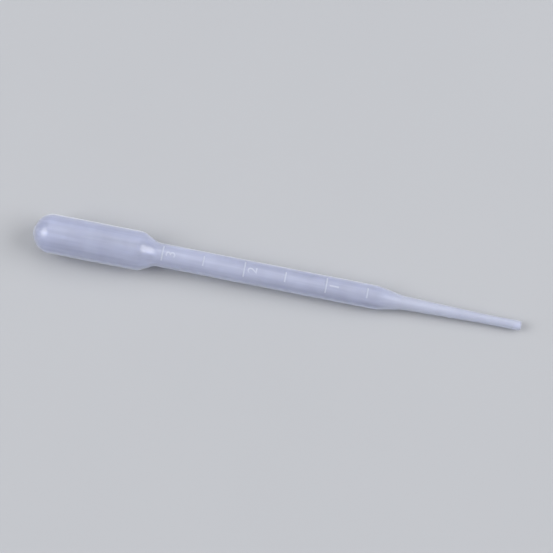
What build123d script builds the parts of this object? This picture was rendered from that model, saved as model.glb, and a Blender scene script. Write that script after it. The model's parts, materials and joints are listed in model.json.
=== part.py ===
from build123d import *
from math import asin, atan2, cos, degrees, hypot, pi, radians, sin, tan
import os

# A graduated dropper pipette, blow-moulded in one piece from natural polyethylene: a closed
# squeeze bulb, a shoulder, a straight stem with raised graduations, and a long drawn-down tip
# with an open bore. Millimetres, +Z up.
#
# It lies as it comes to rest on a flat surface, on the bulb's shoulder and on the lower end of
# the stem, with the bulb towards -X and the tip towards +X. The mould's two parting lines are
# level, on the +Y and -Y sides, and the graduations are on top. The origin is the centre of the
# bounding box, at the surface that the pipette lies on.
#
# A station is a distance along the pipette's own axis from the outer end of the bulb.

# Driving dimensions: the outside
total_length = 160.0
bulb_radius = 6.4
dome_cap_radius = 7.0  # the bulb's closed end is a little flatter than a half ball
dome_corner_radius = 5.6
shoulder_station = 35.2  # the bulb's straight side meets the shoulder's cone
shoulder_angle = 27.0  # half angle of the shoulder's cone
stem_radius = 3.85
reducer_station = 113.0  # the stem meets the cone that leads to the tip
reducer_angle = 11.0
tip_root_radius = 2.25
spout_station = 148.0  # the tip's taper ends, and its last stretch is a plain tube
spout_radius = 1.5

# Driving dimensions: the wall, which is thinnest where the tube was blown out furthest
bulb_wall = 0.38
stem_wall = 0.40
spout_wall = 0.55

# Driving dimensions: rounding of the side line, at the outside
shoulder_rounding = 4.5
neck_rounding = 4.0
reducer_rounding = 9.0
tip_root_rounding = 14.0
spout_rounding = 40.0

# Driving dimensions: what the mould leaves on the outside
seam_height = 0.08
seam_width = 0.30
weld_height = 0.35  # the bulb's end is pinched shut, which leaves a short raised weld
weld_width = 0.90
weld_radius = 5.4  # curve of the weld's crest, tighter than the dome's, so that it fades out
mark_height = 0.17
mark_width = 0.50
mark_flank_angle = 60.0
mark_root = 0.10  # depth that a mark's section reaches into the wall
whole_mark_arc = 76.0  # a mark at a whole millilitre is the longer one
half_mark_arc = 48.0
mark_step_ml = 0.5
last_mark_ml = 3.0

# Slopes and corners that follow from them
shoulder_slope = radians(shoulder_angle)
reducer_slope = radians(reducer_angle)
neck_station = shoulder_station + (bulb_radius - stem_radius) / tan(shoulder_slope)
tip_root_station = reducer_station + (stem_radius - tip_root_radius) / tan(reducer_slope)
tip_slope = atan2(tip_root_radius - spout_radius, spout_station - tip_root_station)
bore_radius = spout_radius - spout_wall

# The closed end is a cap centred on the axis, and a tighter corner that is tangent to the cap
# and to the bulb's straight side. The line through the two centres meets their join.
corner_centre_radius = bulb_radius - dome_corner_radius
cap_spread = asin(corner_centre_radius / (dome_cap_radius - dome_corner_radius))
dome_length = dome_cap_radius - corner_centre_radius / tan(cap_spread)

# The lie: the rounded shoulder and the rounded end of the stem both touch the surface, so the
# line through the two touching points is a common tangent of the two roundings.
shoulder_touch = shoulder_station - shoulder_rounding * tan(shoulder_slope / 2)
reducer_touch = reducer_station - reducer_rounding * tan(reducer_slope / 2)
touch_span = reducer_touch - shoulder_touch
touch_rise = (reducer_rounding - stem_radius) - (shoulder_rounding - bulb_radius)
lie_slope = atan2(touch_rise, touch_span) + asin(
    (shoulder_rounding - reducer_rounding) / hypot(touch_span, touch_rise)
)
axis_direction = (cos(lie_slope), 0, -sin(lie_slope))
bulb_end_height = (
    shoulder_touch * sin(lie_slope)
    + (bulb_radius - shoulder_rounding) * cos(lie_slope)
    + shoulder_rounding
)
far_end_reach = total_length * cos(lie_slope) + spout_radius * sin(lie_slope)
bulb_end = (-(far_end_reach - weld_height * cos(lie_slope)) / 2, 0, bulb_end_height)

pipette_axis = Axis(bulb_end, axis_direction)


def axial_plane(turn):
    """A plane through the pipette's axis, turned about it by these degrees from upright."""
    square_out = Vector(0, -1, 0).rotate(pipette_axis, turn)
    return Plane(bulb_end, x_dir=axis_direction, z_dir=square_out)


upright_plane = axial_plane(0)
parting_plane = axial_plane(-90)


def set_in(station, radius, slope_before, slope_after, inset):
    """A corner of the side line, moved in square to both of the lines that meet there."""
    share = inset / (1 + cos(slope_before - slope_after))
    return (
        station - share * (sin(slope_before) + sin(slope_after)),
        radius - share * (cos(slope_before) + cos(slope_after)),
    )


def side_section(plane, bulb_inset, stem_inset, spout_inset, two_sided=False):
    """The face between the axis and the side line, which is set in by these amounts."""
    corners = [
        set_in(shoulder_station, bulb_radius, 0, shoulder_slope, bulb_inset),
        set_in(neck_station, stem_radius, shoulder_slope, 0, stem_inset),
        set_in(reducer_station, stem_radius, 0, reducer_slope, stem_inset),
        set_in(tip_root_station, tip_root_radius, reducer_slope, tip_slope, spout_inset),
        set_in(spout_station, spout_radius, tip_slope, 0, spout_inset),
    ]
    roundings = [
        shoulder_rounding - bulb_inset,
        neck_rounding + stem_inset,
        reducer_rounding - stem_inset,
        tip_root_rounding + spout_inset,
        spout_rounding + spout_inset,
    ]
    with BuildSketch(plane) as section:
        with BuildLine():
            cap = CenterArc(
                (dome_cap_radius, 0),
                dome_cap_radius - bulb_inset,
                start_angle=180 - degrees(cap_spread),
                arc_size=degrees(cap_spread),
            )
            corner = CenterArc(
                (dome_length, corner_centre_radius),
                dome_corner_radius - bulb_inset,
                start_angle=90,
                arc_size=90 - degrees(cap_spread),
            )
            mouth = (total_length, spout_radius - spout_inset)
            side = FilletPolyline(corner @ 0, *corners, mouth, radius=roundings)
            Polyline(side @ 1, (total_length, 0), cap @ 1)
        make_face()
        if two_sided:
            mirror(about=Plane.XZ)
    return section.sketch


def stem_fill_station(volume_ml):
    """Where liquid drawn up from the tip stands in the stem at this volume."""
    bore_volume = pi * bore_radius**2 * (total_length - spout_station)
    root_radius = tip_root_radius - spout_wall
    taper_volume = frustum(bore_radius, root_radius, spout_station - tip_root_station)
    stem_bore = stem_radius - stem_wall
    reducer_volume = frustum(root_radius, stem_bore, tip_root_station - reducer_station)
    below_stem = bore_volume + taper_volume + reducer_volume
    return reducer_station - (volume_ml * 1000 - below_stem) / (pi * stem_bore**2)


def frustum(small_radius, large_radius, length):
    """The volume of a cone that is cut off square at both ends."""
    squares = small_radius**2 + small_radius * large_radius + large_radius**2
    return pi * length * squares / 3


def mark_volumes(whole):
    """The graduated volumes: those at whole millilitres, or those halfway between."""
    count = round(last_mark_ml / mark_step_ml)
    volumes = [mark_step_ml * (i + 1) for i in range(count)]
    return [volume for volume in volumes if (volume % 1 == 0) == whole]


body_section = side_section(upright_plane, 0, 0, 0)
seam_section = side_section(
    parting_plane, -seam_height, -seam_height, -seam_height, two_sided=True
)
cavity_section = side_section(upright_plane, bulb_wall, stem_wall, spout_wall)

with BuildPart() as dropper_pipette:
    # The blown body, solid for now
    revolve(body_section, axis=pipette_axis)

    # The parting line that the two halves of the mould leave down both sides
    extrude(seam_section, amount=seam_width / 2, both=True)

    # The weld where the mould pinched the tube shut, across the end of the bulb
    with BuildSketch(parting_plane):
        with Locations((weld_radius - weld_height, 0)):
            Circle(weld_radius)
    extrude(amount=weld_width / 2, both=True)

    # Raised graduations, each a short length of ring on top of the stem
    for whole, arc in ((True, whole_mark_arc), (False, half_mark_arc)):
        with BuildSketch(axial_plane(-arc / 2)):
            stations = [stem_fill_station(volume) for volume in mark_volumes(whole)]
            height = mark_root + mark_height
            middle_radius = stem_radius - mark_root + height / 2
            with Locations(*[(station, middle_radius) for station in stations]):
                Trapezoid(mark_width, height, mark_flank_angle)
        revolve(axis=pipette_axis, revolution_arc=arc)

    # The space inside, from the dome down to the open end of the tip
    revolve(cavity_section, axis=pipette_axis, mode=Mode.SUBTRACT)

dropper_pipette.part.label = "dropper_pipette"

os.makedirs("parts", exist_ok=True)
export_step(dropper_pipette.part, "parts/dropper_pipette.step")
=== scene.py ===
import json
import logging
import math
from dataclasses import dataclass, field
from enum import Enum
from typing import Callable, Iterable

import bmesh
import bpy
from mathutils import Matrix, Vector

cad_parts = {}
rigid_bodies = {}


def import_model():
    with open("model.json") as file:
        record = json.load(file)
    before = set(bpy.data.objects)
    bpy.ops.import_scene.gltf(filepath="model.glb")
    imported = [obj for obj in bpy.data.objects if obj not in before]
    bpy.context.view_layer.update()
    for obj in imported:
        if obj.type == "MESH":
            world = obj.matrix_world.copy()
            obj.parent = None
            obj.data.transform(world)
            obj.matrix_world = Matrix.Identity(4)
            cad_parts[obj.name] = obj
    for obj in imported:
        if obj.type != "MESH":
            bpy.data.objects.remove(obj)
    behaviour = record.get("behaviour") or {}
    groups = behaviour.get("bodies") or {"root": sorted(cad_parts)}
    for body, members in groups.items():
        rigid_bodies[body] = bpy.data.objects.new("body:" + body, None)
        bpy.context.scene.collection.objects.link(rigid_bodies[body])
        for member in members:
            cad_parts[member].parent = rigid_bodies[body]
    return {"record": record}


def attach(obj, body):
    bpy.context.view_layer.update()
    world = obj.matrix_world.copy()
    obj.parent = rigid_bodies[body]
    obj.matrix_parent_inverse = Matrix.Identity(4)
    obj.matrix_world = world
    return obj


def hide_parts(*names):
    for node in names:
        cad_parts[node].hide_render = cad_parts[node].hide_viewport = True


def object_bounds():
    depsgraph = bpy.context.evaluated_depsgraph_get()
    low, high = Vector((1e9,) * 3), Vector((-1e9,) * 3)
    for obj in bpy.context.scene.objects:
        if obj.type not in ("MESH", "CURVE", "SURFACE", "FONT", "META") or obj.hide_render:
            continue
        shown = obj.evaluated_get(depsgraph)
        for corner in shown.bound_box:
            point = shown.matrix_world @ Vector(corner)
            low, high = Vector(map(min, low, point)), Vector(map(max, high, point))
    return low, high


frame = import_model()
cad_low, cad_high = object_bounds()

log = logging.getLogger("dropper")

# The pipette's sizes are in millimetres, which MM makes metres. A station is a distance along its
# own axis from the outer end of the bulb.
MM = 0.001
CUBIC_MM_PER_ML = 1000.0
NEARLY_EQUAL = 1e-6
LEAST_RUN = 1e-9
NODE = "dropper_pipette"
BODY = "root"
SLOT = "natural_polyethylene"
THICKNESS = "thickness"
OUTSIDE = "outside"
STEM = next(mount for mount in frame["record"]["mounts"] if mount["name"] == "stem")
LIE = math.atan2(-STEM["axis"][2], STEM["axis"][0])

Point = tuple[float, float]
Tint = tuple[float, float, float, float]
Socket = bpy.types.NodeSocket
Source = Socket | float | Tint | tuple[float, float, float]


class Skin(Enum):
    """Which face of the thin wall is meant."""

    OUTER = "outer"
    INNER = "inner"


class Side(Enum):
    """The two sides of the pipette that the mould parts along, by the sign of Y."""

    LEFT = 1
    RIGHT = -1


class Element(Enum):
    """A kind of mesh element, by the name of a mesh's own list of them."""

    VERT = "verts"
    EDGE = "edges"
    FACE = "faces"


# ---------------------------------------------------------------------------------------------
# Hand tools: entering a mesh, choosing its elements by place, applying modifiers and places
# ---------------------------------------------------------------------------------------------


def deselect_all() -> None:
    """Leaves edit mode and clears the selection, so that the next operator acts on nothing else."""
    if bpy.context.mode != "OBJECT":
        bpy.ops.object.mode_set(mode="OBJECT")
    bpy.ops.object.select_all(action="DESELECT")


def pick(piece: bpy.types.Object) -> None:
    """Makes one object the only selected one, and the active one.

    Args:
        piece: The object to work on.
    """
    deselect_all()
    piece.select_set(True)
    bpy.context.view_layer.objects.active = piece


def open_mesh(piece: bpy.types.Object, element: Element) -> None:
    """Enters edit mode on one object with nothing selected.

    Args:
        piece: The object to edit.
        element: The kind of element to select.
    """
    pick(piece)
    bpy.ops.object.mode_set(mode="EDIT")
    bpy.ops.mesh.select_mode(type=element.name)
    bpy.ops.mesh.select_all(action="DESELECT")


def close_mesh() -> None:
    """Leaves edit mode."""
    bpy.ops.object.mode_set(mode="OBJECT")


def take_all() -> None:
    """Selects the whole of an open mesh."""
    bpy.ops.mesh.select_all(action="SELECT")


def choose(piece: bpy.types.Object, element: Element, wanted: Callable[..., bool]) -> int:
    """Selects the elements that pass a test, in an open mesh.

    Args:
        piece: The object being edited.
        element: The kind of element to select.
        wanted: The test of one element.

    Returns:
        The number of elements selected.
    """
    mesh = bmesh.from_edit_mesh(piece.data)
    chosen = [item for item in getattr(mesh, element.value) if wanted(item)]
    for item in chosen:
        item.select_set(True)
    mesh.select_flush_mode()
    bmesh.update_edit_mesh(piece.data)
    return len(chosen)


def apply_modifier(piece: bpy.types.Object, name: str) -> None:
    """Applies one modifier to its mesh.

    Args:
        piece: The object that holds it.
        name: The modifier's name.
    """
    pick(piece)
    bpy.ops.object.modifier_apply(modifier=name)


def apply_place(piece: bpy.types.Object) -> None:
    """Applies an object's place, turn and scale to its mesh."""
    pick(piece)
    bpy.ops.object.transform_apply(location=True, rotation=True, scale=True)


def open_edges(piece: bpy.types.Object) -> int:
    """Counts the edges that don't join exactly two faces.

    Args:
        piece: A mesh object in object mode.

    Returns:
        The count, which is 0 for a closed mesh.
    """
    mesh = bmesh.new()
    mesh.from_mesh(piece.data)
    count = sum(1 for edge in mesh.edges if not edge.is_manifold)
    mesh.free()
    return count


# ---------------------------------------------------------------------------------------------
# The side line
# ---------------------------------------------------------------------------------------------


@dataclass(frozen=True)
class Corner:
    """A corner of the side line before it is rounded, in millimetres."""

    station: float
    radius: float
    rounding: float
    wall: float


@dataclass(frozen=True)
class SideLine:
    """The pipette's side line and wall, in millimetres and degrees."""

    length: float = 160.0
    cap_radius: float = 7.0
    cap_corner_radius: float = 5.6
    bulb_radius: float = 6.4
    stem_radius: float = 3.85
    tip_root_radius: float = 2.25
    spout_radius: float = 1.5
    shoulder_station: float = 35.2
    shoulder_angle: float = 27.0
    reducer_station: float = 113.0
    reducer_angle: float = 11.0
    spout_station: float = 148.0
    bulb_wall: float = 0.38
    stem_wall: float = 0.40
    spout_wall: float = 0.55
    shoulder_rounding: float = 4.5
    neck_rounding: float = 4.0
    reducer_rounding: float = 9.0
    tip_root_rounding: float = 14.0
    spout_rounding: float = 40.0
    arc_step: float = 3.0
    least_arc_steps: int = 4
    weld_step: float = 0.13
    inner_coarseness: int = 3

    @property
    def neck_station(self) -> float:
        """Where the shoulder's cone meets the stem."""
        drop = self.bulb_radius - self.stem_radius
        return self.shoulder_station + drop / math.tan(math.radians(self.shoulder_angle))

    @property
    def tip_root_station(self) -> float:
        """Where the reducer's cone meets the tip's taper."""
        drop = self.stem_radius - self.tip_root_radius
        return self.reducer_station + drop / math.tan(math.radians(self.reducer_angle))

    @property
    def cap_spread(self) -> float:
        """The angle that the cap's arc takes up from the axis, in radians."""
        rise = self.bulb_radius - self.cap_corner_radius
        return math.asin(rise / (self.cap_radius - self.cap_corner_radius))

    @property
    def corners(self) -> tuple[Corner, ...]:
        """The corners of the outer skin.

        Returns:
            The five corners between the bulb's straight side and the mouth.
        """
        return (
            Corner(self.shoulder_station, self.bulb_radius, self.shoulder_rounding, self.bulb_wall),
            Corner(self.neck_station, self.stem_radius, self.neck_rounding, self.stem_wall),
            Corner(self.reducer_station, self.stem_radius, self.reducer_rounding, self.stem_wall),
            Corner(self.tip_root_station, self.tip_root_radius, self.tip_root_rounding, self.spout_wall),
            Corner(self.spout_station, self.spout_radius, self.spout_rounding, self.spout_wall),
        )

    def dome(self, skin: Skin) -> list[Point]:
        """The closed end, from the axis to the bulb's straight side.

        Args:
            skin: The face of the wall that is drawn.

        Returns:
            The points of a cap and of the tighter corner that runs on from it.
        """
        inset = self.bulb_wall if skin is Skin.INNER else 0.0
        cap = self.cap_radius - inset
        corner = self.cap_corner_radius - inset
        centre_radius = self.bulb_radius - self.cap_corner_radius
        centre_station = self.cap_radius - centre_radius / math.tan(self.cap_spread)
        step = self.weld_step if skin is Skin.OUTER else self.inner_coarseness * self.weld_step
        cap_steps = round(cap * self.cap_spread / step)
        line = [
            (self.cap_radius - cap * math.cos(turn), cap * math.sin(turn))
            for turn in (self.cap_spread * i / cap_steps for i in range(cap_steps + 1))
        ]
        corner_turn = math.pi / 2 - self.cap_spread
        corner_steps = round(math.degrees(corner_turn) / self.arc_step)
        for i in range(1, corner_steps + 1):
            turn = self.cap_spread + corner_turn * i / corner_steps
            line.append((
                centre_station - corner * math.cos(turn),
                centre_radius + corner * math.sin(turn),
            ))
        return line

    def moved_in(self, skin: Skin) -> list[Corner]:
        """The corners as they stand on one face of the wall.

        Args:
            skin: The face of the wall.

        Returns:
            The corners, each moved in square to the two lines that meet there.
        """
        if skin is Skin.OUTER:
            return list(self.corners)
        outer = self.corners
        ends = [(0.0, self.bulb_radius), *[(c.station, c.radius) for c in outer],
                (self.length, self.spout_radius)]
        slopes = [
            math.atan2(a[1] - b[1], b[0] - a[0]) for a, b in zip(ends, ends[1:])
        ]
        moved = []
        for corner, before, after in zip(outer, slopes, slopes[1:]):
            share = corner.wall / (1 + math.cos(before - after))
            grown = corner.wall if after < before else -corner.wall
            moved.append(Corner(
                corner.station - share * (math.sin(before) + math.sin(after)),
                corner.radius - share * (math.cos(before) + math.cos(after)),
                corner.rounding + grown,
                corner.wall,
            ))
        return moved

    def rounded(self, start: Point, corners: list[Corner], end: Point) -> list[Point]:
        """A line through the corners, with each one rounded.

        Args:
            start: The first point.
            corners: The corners between.
            end: The last point.

        Returns:
            The points, with the start and the end among them.
        """
        stops = [Vector(start), *[Vector((c.station, c.radius)) for c in corners], Vector(end)]
        line: list[Point] = [start]
        for i, corner in enumerate(corners):
            here = stops[i + 1]
            back = (stops[i] - here).normalized()
            on = (stops[i + 2] - here).normalized()
            turn = math.pi - back.angle(on)
            reach = corner.rounding * math.tan(turn / 2)
            centre = here + (back + on).normalized() * (corner.rounding / math.cos(turn / 2))
            steps = max(self.least_arc_steps, round(math.degrees(turn) / self.arc_step))
            first = here + back * reach - centre
            sense = 1.0 if first.x * on.y - first.y * on.x > 0 else -1.0
            for k in range(steps + 1):
                spun = Matrix.Rotation(sense * turn * k / steps, 2) @ first
                line.append(tuple(centre + spun))
        line.append(end)
        return line

    def points(self, skin: Skin, longest: float, stations: Iterable[float] = ()) -> list[Point]:
        """One face of the wall, from the axis at the dome to the mouth.

        Args:
            skin: The face of the wall.
            longest: The longest run between two points.
            stations: Stations that have to have a point of their own.

        Returns:
            The points in order.
        """
        dome = self.dome(skin)
        wall = self.spout_wall if skin is Skin.INNER else 0.0
        mouth = (self.length, self.spout_radius - wall)
        line = dome[:-1] + self.rounded(dome[-1], self.moved_in(skin), mouth)
        wanted = sorted(stations)
        dense: list[Point] = [line[0]]
        for before, after in zip(line, line[1:]):
            inside = [s for s in wanted if before[0] + NEARLY_EQUAL < s < after[0] - NEARLY_EQUAL]
            knots = [before[0], *inside, after[0]]
            slope = (after[1] - before[1]) / max(after[0] - before[0], LEAST_RUN)
            for low, high in zip(knots, knots[1:]):
                pieces = max(1, math.ceil((high - low) / longest))
                for k in range(1, pieces + 1):
                    station = low + (high - low) * k / pieces
                    dense.append((station, before[1] + slope * (station - before[0])))
        return dense

    def wall_at(self, station: float) -> float:
        """How thick the wall is at a station.

        Args:
            station: The distance from the bulb's end.

        Returns:
            The thickness, which changes evenly between one corner and the next.
        """
        knots = [(0.0, self.bulb_wall), *[(c.station, c.wall) for c in self.corners],
                 (self.length, self.spout_wall)]
        for (low, thin), (high, thick) in zip(knots, knots[1:]):
            if station <= high:
                return thin + (thick - thin) * max(0.0, station - low) / (high - low)
        return self.spout_wall


# ---------------------------------------------------------------------------------------------
# The graduations
# ---------------------------------------------------------------------------------------------


@dataclass(frozen=True)
class Graduations:
    """Raised marks and numerals along the top of the stem, in millimetres and degrees."""

    line: SideLine
    step_ml: float = 0.5
    last_ml: float = 3.0
    width: float = 0.55
    height: float = 0.16
    flank: float = 0.08
    crest_softening: float = 0.03
    crest_segments: int = 2
    whole_arc: float = 76.0
    half_arc: float = 48.0
    numeral_size: float = 4.4
    numeral_gap: float = 0.8
    numeral_height: float = 0.14
    numeral_root: float = 0.12
    numeral_slice: float = 0.18
    numeral_curve_steps: int = 6
    numeral_merge: float = 0.002
    numeral_flatness: float = 1.0

    @property
    def volumes(self) -> list[float]:
        """Every marked volume, in millilitres."""
        return [self.step_ml * (i + 1) for i in range(round(self.last_ml / self.step_ml))]

    def station(self, volume: float) -> float:
        """Where liquid drawn up from the tip stands in the stem.

        Args:
            volume: The volume, in millilitres.

        Returns:
            The station of its mark.
        """
        line = self.line
        bore = line.spout_radius - line.spout_wall
        root = line.tip_root_radius - line.spout_wall
        stem = line.stem_radius - line.stem_wall
        spout = math.pi * bore**2 * (line.length - line.spout_station)
        taper = self.cone(bore, root, line.spout_station - line.tip_root_station)
        reducer = self.cone(root, stem, line.tip_root_station - line.reducer_station)
        left = volume * CUBIC_MM_PER_ML - spout - taper - reducer
        return line.reducer_station - left / (math.pi * stem**2)

    @staticmethod
    def cone(small: float, large: float, length: float) -> float:
        """The volume of a cone that is cut off square at both ends."""
        return math.pi * length * (small**2 + small * large + large**2) / 3

    def is_whole(self, volume: float) -> bool:
        """Whether a mark stands at a whole millilitre, and so is a long one with a numeral."""
        return abs(volume - round(volume)) < NEARLY_EQUAL

    def arc(self, volume: float) -> float:
        """How far round the stem a volume's mark runs, in degrees."""
        return self.whole_arc if self.is_whole(volume) else self.half_arc

    def edges(self) -> list[float]:
        """The stations of both edges of every mark."""
        half = self.width / 2
        return [self.station(v) + side * half for v in self.volumes for side in (-1, 1)]

    def raise_marks(self, piece: bpy.types.Object) -> None:
        """Raises the marks from the stem's own faces: inset for the flank, then pushed out.

        Args:
            piece: The spun body, lying along X with the marks' side up.
        """
        spans = [(self.station(v), math.radians(self.arc(v)) / 2) for v in self.volumes]
        floor = (self.line.stem_radius - self.line.stem_wall / 2) * MM

        def in_a_mark(face: bmesh.types.BMFace) -> bool:
            """Tells which faces a mark is raised from.

            Args:
                face: A face of the body.

            Returns:
                True if it belongs to the outer skin and lies in a mark.
            """
            middle = face.calc_center_median()
            if math.hypot(middle.y, middle.z) < floor:
                return False
            turn = abs(math.atan2(middle.y, middle.z))
            return any(
                abs(middle.x - station * MM) < self.width / 2 * MM and turn < reach
                for station, reach in spans
            )

        open_mesh(piece, Element.FACE)
        count = choose(piece, Element.FACE, in_a_mark)
        bpy.ops.mesh.inset(thickness=self.flank * MM, depth=0.0, use_even_offset=True)
        bpy.ops.transform.shrink_fatten(value=self.height * MM)
        bpy.ops.mesh.region_to_loop()
        bpy.ops.mesh.bevel(
            offset=self.crest_softening * MM, segments=self.crest_segments, affect="EDGES"
        )
        close_mesh()
        log.info("marks: %d raised from %d faces", len(spans), count)

    def numeral(self, volume: float) -> bpy.types.Object:
        """One raised numeral, wrapped round the stem beside its mark.

        Args:
            volume: The whole volume that it names.

        Returns:
            A closed mesh whose root lies within the stem's wall.
        """
        deselect_all()
        bpy.ops.object.text_add(rotation=(math.pi / 2, 0.0, 0.0))
        piece = bpy.context.object
        piece.name = f"numeral_{round(volume)}"
        piece.data.body = str(round(volume))
        piece.data.size = self.numeral_size * MM
        piece.data.align_x = "CENTER"
        piece.data.align_y = "CENTER"
        piece.data.resolution_u = self.numeral_curve_steps
        bpy.ops.object.convert(target="MESH")
        apply_place(piece)
        half_height = piece.dimensions.z / 2
        self.thicken_numeral(piece)

        bend = piece.modifiers.new("wrap", "SIMPLE_DEFORM")
        bend.deform_method = "BEND"
        bend.deform_axis = "Z"
        bend.angle = piece.dimensions.x / (self.line.stem_radius * MM)
        apply_modifier(piece, "wrap")

        station = self.station(volume) + self.width / 2 + self.numeral_gap
        piece.matrix_world = Matrix((
            (0.0, 0.0, -1.0, station * MM + half_height),
            (1.0, 0.0, 0.0, 0.0),
            (0.0, -1.0, 0.0, self.line.stem_radius * MM),
            (0.0, 0.0, 0.0, 1.0),
        ))
        apply_place(piece)
        return piece

    def thicken_numeral(self, piece: bpy.types.Object) -> None:
        """Centres a flat numeral, slices it so that it can bend, and gives it depth.

        Args:
            piece: The numeral, flat and upright in the plane of X and Z.
        """
        centre = sum((Vector(corner) for corner in piece.bound_box), Vector()) / len(piece.bound_box)
        half_width = piece.dimensions.x / 2
        open_mesh(piece, Element.VERT)
        take_all()
        bpy.ops.mesh.remove_doubles(threshold=self.numeral_merge * MM)
        bpy.ops.mesh.dissolve_limited(angle_limit=math.radians(self.numeral_flatness))
        bpy.ops.transform.translate(value=(-centre.x, 0.0, -centre.z))
        cuts = int(half_width / (self.numeral_slice * MM))
        for i in range(-cuts, cuts + 1):
            take_all()
            cut = (i * self.numeral_slice * MM, 0.0, 0.0)
            bpy.ops.mesh.bisect(plane_co=cut, plane_no=(1.0, 0.0, 0.0))
        take_all()
        bpy.ops.transform.translate(value=(0.0, self.numeral_root * MM, 0.0))
        outwards = (0.0, -(self.numeral_root + self.numeral_height) * MM, 0.0)
        bpy.ops.mesh.extrude_region_move(TRANSFORM_OT_translate={"value": outwards})
        take_all()
        bpy.ops.mesh.normals_make_consistent(inside=False)
        close_mesh()

    def add_numerals(self, piece: bpy.types.Object) -> None:
        """Joins the numerals to the body, so that all of it is one moulding.

        Args:
            piece: The spun body.
        """
        numerals = [self.numeral(v) for v in self.volumes if self.is_whole(v)]
        deselect_all()
        for numeral in numerals:
            numeral.select_set(True)
        bpy.context.view_layer.objects.active = numerals[0]
        bpy.ops.object.join()
        tool = bpy.context.object
        log.info("numerals: %d faces, %d open edges", len(tool.data.polygons), open_edges(tool))
        union = piece.modifiers.new("numerals", "BOOLEAN")
        union.operation = "UNION"
        union.solver = "EXACT"
        union.object = tool
        apply_modifier(piece, "numerals")
        bpy.data.objects.remove(tool)


# ---------------------------------------------------------------------------------------------
# What the mould leaves: the pinch weld and the parting lines
# ---------------------------------------------------------------------------------------------


@dataclass(frozen=True)
class PinchWeld:
    """The weld across the bulb's end, where the mould pinched the tube shut, in millimetres."""

    line: SideLine
    depth: float = 2.0
    height: float = 0.33
    width: float = 0.95
    crest_radius: float = 5.4
    ridge_steepness: float = 2.1
    groove: float = 0.05
    groove_place: float = 0.95
    groove_spread: float = 0.35

    def tallness(self, across: float) -> float:
        """How tall the weld stands at a place along it.

        Args:
            across: The distance from the axis, along the weld.

        Returns:
            A share of the weld's full height, which fades out where its crest meets the dome.
        """
        if abs(across) >= self.crest_radius:
            return 0.0
        crest = self.crest_radius - self.height - math.sqrt(self.crest_radius**2 - across**2)
        dome = self.line.cap_radius - math.sqrt(self.line.cap_radius**2 - across**2)
        return max(0.0, dome - crest) / self.height

    def ridge(self, up: float) -> float:
        """The share of the height across the weld, square to its length: a bell with a flat top."""
        return math.exp(-((self.ridge_steepness * up / self.width) ** 4))

    def beside(self, up: float) -> float:
        """The share of the groove's depth across the weld: a plain bell on each side of it."""
        away = abs(up) - self.groove_place * self.width
        return math.exp(-((away / (self.groove_spread * self.width)) ** 2))

    def reaches(self, place: Vector) -> bool:
        """Tells which points of the body the weld can reach.

        Args:
            place: A point of the body, in metres, with the bulb's end at the origin.

        Returns:
            True if it lies on the outer skin and near enough to the bulb's end.
        """
        centre = Vector((self.line.cap_radius * MM, 0.0, 0.0))
        middle_of_wall = (self.line.cap_radius - self.line.bulb_wall / 2) * MM
        return place.x < self.depth * MM and (place - centre).length > middle_of_wall

    def share(self, place: Vector) -> float:
        """How tall the weld stands at a point of the body.

        Args:
            place: The point, in metres, with the bulb's end at the origin.

        Returns:
            A share of the weld's full height.
        """
        if not self.reaches(place):
            return 0.0
        return self.tallness(place.y / MM) * self.ridge(place.z / MM)

    def press(self, piece: bpy.types.Object) -> None:
        """Raises the weld on the outer skin of the dome, and sinks a shallow groove beside it.

        Args:
            piece: The spun body, lying along X.
        """
        outside = [vert for vert in piece.data.vertices if self.reaches(vert.co)]
        shapes = (("ridge", self.ridge, self.height), ("groove", self.beside, -self.groove))
        for name, share, strength in shapes:
            group = piece.vertex_groups.new(name=name)
            for vert in outside:
                weight = self.tallness(vert.co.y / MM) * share(vert.co.z / MM)
                group.add([vert.index], weight, "REPLACE")
            press = piece.modifiers.new(name, "DISPLACE")
            press.direction = "NORMAL"
            press.mid_level = 0.0
            press.strength = strength * MM
            press.vertex_group = name
        for name, _, _ in shapes:
            apply_modifier(piece, name)
        piece.vertex_groups.clear()
        log.info("weld: pressed over %d points", len(outside))


@dataclass(frozen=True)
class PartingLines:
    """The fine ridge that the mould's two halves leave down both sides, in millimetres.

    Each one's width is a percentage of the width of the faces beside it.
    """

    line: SideLine
    height: float = 0.065
    width_percent: float = 32.0
    start: float = 0.9
    end_gap: float = 0.1
    reach: float = 0.002
    least_facing: float = 0.2

    def raise_side(self, piece: bpy.types.Object, side: Side) -> None:
        """Raises one ridge: the side's edge is bevelled into two strips, whose join is pushed out.

        Args:
            piece: The spun body, lying along X.
            side: The side that it runs down.
        """
        last = (self.line.length - self.end_gap) * MM

        def outside(vert: bmesh.types.BMVert) -> bool:
            """Tells which points the ridge runs through.

            Args:
                vert: A vertex of the body.

            Returns:
                True if it lies on this side's line, on the outer skin.
            """
            if abs(vert.co.z) > self.reach * MM or vert.co.y * side.value <= 0:
                return False
            if not self.start * MM < vert.co.x < last:
                return False
            return vert.normal.y * side.value > self.least_facing

        open_mesh(piece, Element.EDGE)
        choose(piece, Element.EDGE, lambda edge: all(outside(v) for v in edge.verts))
        bpy.ops.mesh.bevel(
            offset_type="PERCENT", offset_pct=self.width_percent, segments=2, profile=0.5, affect="EDGES"
        )
        bpy.ops.mesh.select_all(action="DESELECT")
        bpy.ops.mesh.select_mode(type=Element.VERT.name)
        count = choose(piece, Element.VERT, outside)
        bpy.ops.transform.shrink_fatten(value=self.height * MM)
        close_mesh()
        log.info("parting line %s: %d points", side.name.lower(), count)


# ---------------------------------------------------------------------------------------------
# Finishes
# ---------------------------------------------------------------------------------------------


class Blend(Enum):
    """A kind of blend: its data type, and the places of its two inputs and of its result."""

    NUMBER = ("FLOAT", 2, 3, 0)
    COLOUR = ("RGBA", 6, 7, 2)


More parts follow.
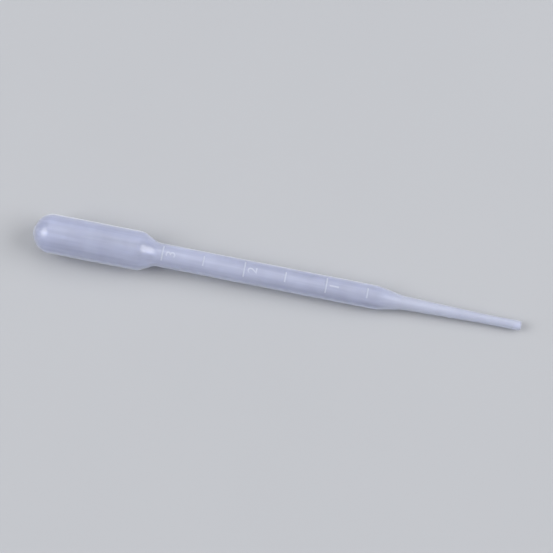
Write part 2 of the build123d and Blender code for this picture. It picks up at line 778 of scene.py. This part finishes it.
@dataclass(frozen=True)
class Noise:
    """How fine a noise pattern is, how many layers it has, and how strong the finer ones are."""

    scale: float
    detail: float = 2.0
    roughness: float = 0.5


@dataclass(frozen=True)
class MaterialNodes:
    """Adds nodes to a material, each fed with values or with what other nodes give out."""

    tree: bpy.types.NodeTree

    def add(self, kind: str) -> bpy.types.Node:
        """Adds a node of one kind."""
        return self.tree.nodes.new(kind)

    def fill(self, node: bpy.types.Node, sources: dict[str | int, Source]) -> None:
        """Gives a node's inputs their values, or links them to outputs.

        Args:
            node: The node.
            sources: A value or an output for each input, by the input's name or place.
        """
        for key, source in sources.items():
            if isinstance(source, Socket):
                self.tree.links.new(source, node.inputs[key])
            else:
                node.inputs[key].default_value = source

    def attribute(self, name: str) -> Socket:
        """Adds a node that reads an attribute of the mesh.

        Args:
            name: The attribute's name.

        Returns:
            The output that holds its value.
        """
        node = self.add("ShaderNodeAttribute")
        node.attribute_name = name
        return node.outputs["Fac"]

    def noise(self, pattern: Noise, place: Socket) -> Socket:
        """Adds a noise pattern.

        Args:
            pattern: How fine and how layered it is.
            place: The output that says where it is read.

        Returns:
            The output that holds its value.
        """
        node = self.add("ShaderNodeTexNoise")
        self.fill(node, {
            "Scale": pattern.scale,
            "Detail": pattern.detail,
            "Roughness": pattern.roughness,
            "Vector": place,
        })
        return node.outputs["Fac"]

    def blend(self, kind: Blend, amount: Source, first: Source, second: Source) -> Socket:
        """Adds a blend of two numbers or two colours.

        Args:
            kind: What is blended.
            amount: How much of the second one there is, from 0 to 1.
            first: The first one.
            second: The second one.

        Returns:
            The output that holds the result.
        """
        data_type, first_place, second_place, result_place = kind.value
        node = self.add("ShaderNodeMix")
        node.data_type = data_type
        self.fill(node, {"Factor": amount, first_place: first, second_place: second})
        return node.outputs[result_place]

    def spread(self, source: Source, span: Point, result: Point) -> Socket:
        """Adds a node that spreads one range of numbers over another.

        Args:
            source: The number to spread.
            span: The least and the greatest number that are told apart.
            result: What those two become.

        Returns:
            The output that holds the result.
        """
        node = self.add("ShaderNodeMapRange")
        self.fill(node, {
            "From Min": span[0],
            "From Max": span[1],
            "To Min": result[0],
            "To Max": result[1],
            "Value": source,
        })
        return node.outputs["Result"]


@dataclass(frozen=True)
class NaturalPolyethylene:
    """Unpigmented blown polyethylene: milky, see-through where thin, with lengthwise flow."""

    name: str = SLOT
    clear_tint: Tint = (0.83, 0.862, 1.0, 1.0)
    milky_tint: Tint = (0.70, 0.75, 1.0, 1.0)
    least_clear: float = 0.50
    most_clear: float = 0.70
    smoothest: float = 0.10
    roughest: float = 0.17
    thick_tint: Tint = (0.90, 0.925, 0.99, 1.0)
    thick_clear: float = 0.38
    inner_clear: float = 0.97
    refraction: float = 1.51
    sheen: float = 1.0
    sheen_roughness: float = 0.30
    sheen_tint: Tint = (0.93, 0.95, 1.0, 1.0)
    flow: Noise = Noise(900.0, 4.0, 0.55)
    flow_span: Point = (0.3, 0.7)
    bands: Noise = Noise(260.0, 3.0)
    cloud: Noise = Noise(120.0)
    cloud_share: float = 0.25
    haze_span: Point = (0.36, 0.64)
    grain: Noise = Noise(2600.0)
    grain_share: float = 0.25
    bump_strength: float = 0.3
    bump_depth: float = 0.02
    streak: float = 20.0
    lie: float = LIE

    def make(self) -> bpy.types.Material:
        """Builds the material.

        Returns:
            The material, whose patterns read the piece's own place in the frame.
        """
        material = bpy.data.materials.new(self.name)
        material.use_nodes = True
        material.node_tree.nodes.clear()
        nodes = MaterialNodes(material.node_tree)
        output = nodes.add("ShaderNodeOutputMaterial")
        shader = nodes.add("ShaderNodeBsdfPrincipled")
        nodes.fill(output, {"Surface": shader.outputs["BSDF"]})

        place = nodes.add("ShaderNodeTexCoord").outputs["Object"]
        along = self.lengthwise(nodes, place)
        flow = nodes.noise(self.flow, along)
        bands = nodes.noise(self.bands, along)
        cloud = nodes.noise(self.cloud, place)
        haze = nodes.blend(Blend.NUMBER, self.cloud_share, bands, cloud)

        # Colour follows the haze and the thickness, and clearness follows those and the skin
        tint = nodes.blend(Blend.COLOUR, haze, self.clear_tint, self.milky_tint)
        thickness = nodes.attribute(THICKNESS)
        colour = nodes.blend(Blend.COLOUR, thickness, tint, self.thick_tint)
        outer_clear = nodes.spread(haze, self.haze_span, (self.most_clear, self.least_clear))
        outside = nodes.attribute(OUTSIDE)
        by_skin = nodes.blend(Blend.NUMBER, outside, self.inner_clear, outer_clear)
        clearness = nodes.blend(Blend.NUMBER, thickness, by_skin, self.thick_clear)

        # Gloss follows the flow, and relief follows the flow and a fine grain
        gloss = nodes.spread(flow, self.flow_span, (self.smoothest, self.roughest))
        grain = nodes.noise(self.grain, place)
        nodes.fill(shader, {
            "Base Color": colour,
            "Transmission Weight": clearness,
            "Roughness": gloss,
            "Normal": self.relief(nodes, grain, flow),
            "IOR": self.refraction,
            "Sheen Weight": self.sheen,
            "Sheen Roughness": self.sheen_roughness,
            "Sheen Tint": self.sheen_tint,
        })
        return material

    def lengthwise(self, nodes: MaterialNodes, place: Socket) -> Socket:
        """Adds a place that is turned and stretched, so that a pattern runs along the pipette.

        Args:
            nodes: The material's nodes.
            place: The output that holds the plain place.

        Returns:
            The output that holds the new one.
        """
        mapping = nodes.add("ShaderNodeMapping")
        mapping.vector_type = "TEXTURE"
        nodes.fill(mapping, {
            "Rotation": (0.0, self.lie, 0.0),
            "Scale": (self.streak, 1.0, 1.0),
            "Vector": place,
        })
        return mapping.outputs["Vector"]

    def relief(self, nodes: MaterialNodes, grain: Socket, flow: Socket) -> Socket:
        """Adds the skin's fine relief.

        Args:
            nodes: The material's nodes.
            grain: The output of the grain's pattern.
            flow: The output of the flow's pattern.

        Returns:
            The output that holds the bumped normal.
        """
        height = nodes.add("ShaderNodeMath")
        height.operation = "MULTIPLY_ADD"
        nodes.fill(height, dict(enumerate((grain, self.grain_share, flow))))
        bump = nodes.add("ShaderNodeBump")
        nodes.fill(bump, {
            "Strength": self.bump_strength,
            "Distance": self.bump_depth * MM,
            "Height": height.outputs[0],
        })
        return bump.outputs["Normal"]


@dataclass(frozen=True)
class PaleFloor:
    """The matt floor that the pipette lies on."""

    name: str = "pale_floor"
    light: Tint = (0.455, 0.465, 0.49, 1.0)
    dark: Tint = (0.44, 0.45, 0.475, 1.0)
    roughness: float = 0.7
    mottle: Noise = Noise(14.0)

    def make(self) -> bpy.types.Material:
        """Builds the material.

        Returns:
            The material, with a faint mottle.
        """
        material = bpy.data.materials.new(self.name)
        material.use_nodes = True
        shader = material.node_tree.nodes["Principled BSDF"]
        nodes = MaterialNodes(material.node_tree)
        place = nodes.add("ShaderNodeTexCoord").outputs["Object"]
        mottle = nodes.noise(self.mottle, place)
        tint = nodes.blend(Blend.COLOUR, mottle, self.light, self.dark)
        nodes.fill(shader, {"Roughness": self.roughness, "Base Color": tint})
        return material


# ---------------------------------------------------------------------------------------------
# The blown body
# ---------------------------------------------------------------------------------------------


@dataclass
class BlownPipette:
    """The whole pipette: one thin wall, closed at the bulb and open at the tip.

    Lengths are in millimetres and angles in degrees. The shares say how thick the spout and the
    marks count as in the finish, from 0 to 1.
    """

    line: SideLine = field(default_factory=SideLine)
    segments: int = 128
    outer_run: float = 1.2
    inner_run: float = 2.4
    pole_merge: float = 0.001
    lip_softening: float = 0.12
    lip_segments: int = 3
    lip_reach: float = 0.01
    waviness: float = 0.05
    wave_length: float = 9.0
    join_merge: float = 0.0005
    sharpest: float = 38.0
    stem_reach: float = 1e-4
    thick_above: float = 0.10
    spout_share: float = 0.30
    mark_share: float = 0.5
    finish: NaturalPolyethylene = field(default_factory=NaturalPolyethylene)

    def build(self) -> bpy.types.Object:
        """Makes the pipette and lays it where the frame says.

        Returns:
            The finished piece, riding on its body.
        """
        marks = Graduations(self.line)
        weld = PinchWeld(self.line)
        piece = self.spin_wall(self.draw_section(marks))
        piece.data.materials.append(self.finish.make())
        weld.press(piece)
        self.soften_lip(piece)
        for side in Side:
            PartingLines(self.line).raise_side(piece, side)
        marks.raise_marks(piece)
        marks.add_numerals(piece)
        self.weigh_thickness(piece, marks, weld)
        self.unsettle(piece)
        self.clean(piece)
        self.lay_down(piece)
        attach(piece, BODY)
        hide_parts(NODE)
        return piece

    def draw_section(self, marks: Graduations) -> bpy.types.Object:
        """Draws the wall's section: out along the outer skin, and back along the inner one.

        Args:
            marks: The graduations, whose edges need points of their own.

        Returns:
            An open chain of edges in the upright plane.
        """
        outer = self.line.points(Skin.OUTER, self.outer_run, marks.edges())
        inner = self.line.points(Skin.INNER, self.inner_run)
        chain = outer + inner[::-1]
        deselect_all()
        bpy.ops.mesh.primitive_plane_add(size=1.0 * MM)
        piece = bpy.context.object
        piece.name = "blown_pipette"
        open_mesh(piece, Element.VERT)
        take_all()
        bpy.ops.mesh.merge(type="CENTER")
        here = chain[0]
        bpy.ops.transform.translate(value=(here[0] * MM, 0.0, here[1] * MM))
        for there in chain[1:]:
            step = ((there[0] - here[0]) * MM, 0.0, (there[1] - here[1]) * MM)
            bpy.ops.mesh.extrude_region_move(TRANSFORM_OT_translate={"value": step})
            here = there
        close_mesh()
        log.info("section: %d points", len(chain))
        return piece

    def spin_wall(self, piece: bpy.types.Object) -> bpy.types.Object:
        """Spins the section round the axis and closes both poles.

        Args:
            piece: The section.

        Returns:
            The same object, now a closed wall with its faces outwards.
        """
        open_mesh(piece, Element.VERT)
        take_all()
        bpy.ops.mesh.spin(
            steps=self.segments, angle=2 * math.pi, center=(0, 0, 0), axis=(1, 0, 0), use_auto_merge=True
        )
        take_all()
        bpy.ops.mesh.remove_doubles(threshold=self.pole_merge * MM)
        take_all()
        bpy.ops.mesh.normals_make_consistent(inside=False)
        close_mesh()
        log.info("wall: %d faces, %d open edges", len(piece.data.polygons), open_edges(piece))
        return piece

    def soften_lip(self, piece: bpy.types.Object) -> None:
        """Rounds both edges of the open end.

        Args:
            piece: The wall.
        """
        mouth = self.line.length * MM
        reach = self.lip_reach * MM

        def on_a_rim(edge: bmesh.types.BMEdge) -> bool:
            """Tells which edges are rounded.

            Args:
                edge: An edge of the wall.

            Returns:
                True if it runs round the mouth, and not across the wall's end from rim to rim.
            """
            first, second = edge.verts
            if abs(first.co.x - mouth) >= reach or abs(second.co.x - mouth) >= reach:
                return False
            return abs(first.co.yz.length - second.co.yz.length) < reach

        open_mesh(piece, Element.EDGE)
        choose(piece, Element.EDGE, on_a_rim)
        bpy.ops.mesh.bevel(offset=self.lip_softening * MM, segments=self.lip_segments, affect="EDGES")
        close_mesh()

    def weigh_thickness(self, piece: bpy.types.Object, marks: Graduations, weld: PinchWeld) -> None:
        """Notes where the plastic stands thicker, as an attribute that the finish reads.

        Args:
            piece: The body.
            marks: The graduations, which are evenly thick.
            weld: The weld, which is thickest along its crest.
        """
        line = self.line
        crest = line.stem_radius + self.thick_above
        first, last = min(marks.edges()), max(marks.edges())

        def share(place: Vector) -> float:
            """Weighs how thick the plastic stands at a point.

            Args:
                place: A point of the body, in metres, with the bulb's end at the origin.

            Returns:
                A share from 0, as in the bulb's wall, to 1.
            """
            station = place.x / MM
            if first - marks.width < station < last + marks.width and place.yz.length > crest * MM:
                return self.mark_share
            grown = (line.wall_at(station) - line.bulb_wall) / (line.spout_wall - line.bulb_wall)
            return max(self.spout_share * grown, weld.share(place))

        shares = [share(vert.co) for vert in piece.data.vertices]
        thickness = piece.data.attributes.new(THICKNESS, "FLOAT", "POINT")
        thickness.data.foreach_set("value", shares)

        def is_outside(vert: bpy.types.MeshVertex) -> bool:
            """Whether the body faces away from the pipette's axis, or from the dome's middle."""
            on_axis = Vector((max(vert.co.x, line.cap_radius * MM), 0.0, 0.0))
            return vert.normal.dot(vert.co - on_axis) > 0.0

        outside = piece.data.attributes.new(OUTSIDE, "FLOAT", "POINT")
        outside.data.foreach_set("value", [float(is_outside(v)) for v in piece.data.vertices])
        thick = sum(1 for amount in shares if amount >= self.mark_share)
        log.info("thicker: %d of %d points", thick, len(shares))

    def unsettle(self, piece: bpy.types.Object) -> None:
        """Gives the skin the slight unevenness that blowing leaves.

        Args:
            piece: The body.
        """
        pattern = bpy.data.textures.new("unevenness", "CLOUDS")
        pattern.noise_scale = self.wave_length * MM
        pattern.noise_depth = 1
        wave = piece.modifiers.new("unevenness", "DISPLACE")
        wave.texture = pattern
        wave.texture_coords = "LOCAL"
        wave.mid_level = 0.5
        wave.strength = self.waviness * MM
        apply_modifier(piece, "unevenness")

    def clean(self, piece: bpy.types.Object) -> None:
        """Merges what the joins left double, splits many-sided faces, and shades it smooth.

        Args:
            piece: The body.
        """
        open_mesh(piece, Element.VERT)
        take_all()
        bpy.ops.mesh.remove_doubles(threshold=self.join_merge * MM)
        close_mesh()
        open_mesh(piece, Element.FACE)
        choose(piece, Element.FACE, lambda face: len(face.verts) > 4)
        bpy.ops.mesh.quads_convert_to_tris(quad_method="BEAUTY", ngon_method="BEAUTY")
        close_mesh()
        pick(piece)
        bpy.ops.object.shade_smooth_by_angle(angle=math.radians(self.sharpest))
        triangles = sum(len(face.vertices) - 2 for face in piece.data.polygons)
        log.info("body: %d triangles, %d open edges", triangles, open_edges(piece))

    def lay_down(self, piece: bpy.types.Object) -> None:
        """Moves the body from its own axis to the lie that the frame's stem mount gives.

        Its lowest point then meets the surface, because the unevenness moves that point a little.

        Args:
            piece: The body, lying along X from the origin.
        """
        along = Vector(STEM["axis"]).normalized()
        across = Vector((0.0, 1.0, 0.0))
        up = along.cross(across).normalized()
        on_bulb = (self.line.shoulder_station / 2, self.line.bulb_radius)
        mouth = (self.line.length, self.line.spout_radius)
        side = self.line.rounded(on_bulb, list(self.line.corners), mouth)
        on_stem = [s for s, r in side if abs(r - self.line.stem_radius) < self.stem_reach]
        middle = (min(on_stem) + max(on_stem)) / 2 * MM
        origin = Vector(STEM["pos_m"]) - along * middle
        place = Matrix((along, across, up)).transposed().to_4x4()
        place.translation = origin
        lowest = min((place @ vert.co).z for vert in piece.data.vertices)
        place.translation.z += cad_low[2] - lowest
        piece.matrix_world = place
        apply_place(piece)


# ---------------------------------------------------------------------------------------------
# The studio
# ---------------------------------------------------------------------------------------------


@dataclass(frozen=True)
class SoftLamp:
    """A round lamp that faces the pipette, in degrees, metres and watts."""

    name: str
    azimuth: float
    elevation: float
    distance: float
    size: float
    power: float
    colour: tuple[float, float, float] = (1.0, 1.0, 1.0)

    def hang(self, aim: Vector) -> None:
        """Hangs the lamp.

        Args:
            aim: The point that it faces.
        """
        back = direction(self.azimuth, self.elevation)
        deselect_all()
        bpy.ops.object.light_add(type="AREA", location=aim + back * self.distance)
        lamp = bpy.context.object
        lamp.name = self.name
        lamp.data.shape = "DISK"
        lamp.data.size = self.size
        lamp.data.energy = self.power
        lamp.data.color = self.colour
        look_along(lamp, -back)


def direction(azimuth: float, elevation: float) -> Vector:
    """The way from the object to something that stands round it.

    Args:
        azimuth: Degrees round from the front, towards +X.
        elevation: Degrees above the floor.

    Returns:
        A unit vector.
    """
    turn, rise = math.radians(azimuth), math.radians(elevation)
    return Vector((
        math.sin(turn) * math.cos(rise), -math.cos(turn) * math.cos(rise), math.sin(rise),
    ))


def look_along(thing: bpy.types.Object, way: Vector) -> None:
    """Turns a lamp or a camera to look one way, with its top upwards."""
    thing.rotation_mode = "QUATERNION"
    thing.rotation_quaternion = way.to_track_quat("-Z", "Y")


@dataclass(frozen=True)
class Studio:
    """The floor, the lamps, the surrounding light and the camera, in degrees and metres.

    The lens is in millimetres.
    """

    azimuth: float = 11.0
    elevation: float = 77.0
    lens: float = 85.0
    distance: float = 0.42
    nearest: float = 0.01
    floor_size: float = 6.0
    floor_border: float = 0.1
    surround: float = 0.29
    surround_tint: Tint = (0.95, 0.965, 1.0, 1.0)
    lamps: tuple[SoftLamp, ...] = (
        SoftLamp("left_lamp", -79.0, 44.0, 1.5, 1.2, 15.0),
        SoftLamp("right_lamp", 101.0, 38.0, 1.5, 1.2, 16.0),
        SoftLamp("top_lamp", 185.0, 64.0, 2.4, 2.1, 10.8),
    )
    finish: PaleFloor = field(default_factory=PaleFloor)

    def lay_floor(self) -> None:
        """Lays a flat square floor with a border, which isn't part of the object."""
        deselect_all()
        bpy.ops.mesh.primitive_plane_add(size=self.floor_size)
        floor = bpy.context.object
        floor.name = "floor"
        open_mesh(floor, Element.FACE)
        take_all()
        bpy.ops.mesh.inset(thickness=self.floor_border)
        close_mesh()
        floor.data.materials.append(self.finish.make())

    def light(self, aim: Vector) -> None:
        """Hangs the lamps and sets the surrounding light.

        Args:
            aim: The point that the lamps face.
        """
        for lamp in self.lamps:
            lamp.hang(aim)
        world = bpy.data.worlds.new("surround")
        bpy.context.scene.world = world
        world.use_nodes = True
        background = world.node_tree.nodes["Background"]
        background.inputs["Color"].default_value = self.surround_tint
        background.inputs["Strength"].default_value = self.surround

    def place_camera(self, aim: Vector) -> None:
        """Sets up the camera.

        Args:
            aim: The point that it looks at.
        """
        back = direction(self.azimuth, self.elevation)
        deselect_all()
        bpy.ops.object.camera_add(location=aim + back * self.distance)
        camera = bpy.context.object
        camera.name = "camera"
        camera.data.lens = self.lens
        camera.data.clip_start = self.nearest
        look_along(camera, -back)
        bpy.context.scene.camera = camera


def main() -> None:
    """Builds the pipette and its studio, and reports each piece."""
    logging.basicConfig(level=logging.INFO, format="%(name)s: %(message)s")
    bpy.context.scene.view_settings.view_transform = "Standard"
    piece = BlownPipette().build()
    log.info("%s: %d faces", piece.name, len(piece.data.polygons))
    aim = (cad_low + cad_high) / 2
    studio = Studio()
    studio.lay_floor()
    studio.light(aim)
    studio.place_camera(aim)


if __name__ == "__main__":
    main()
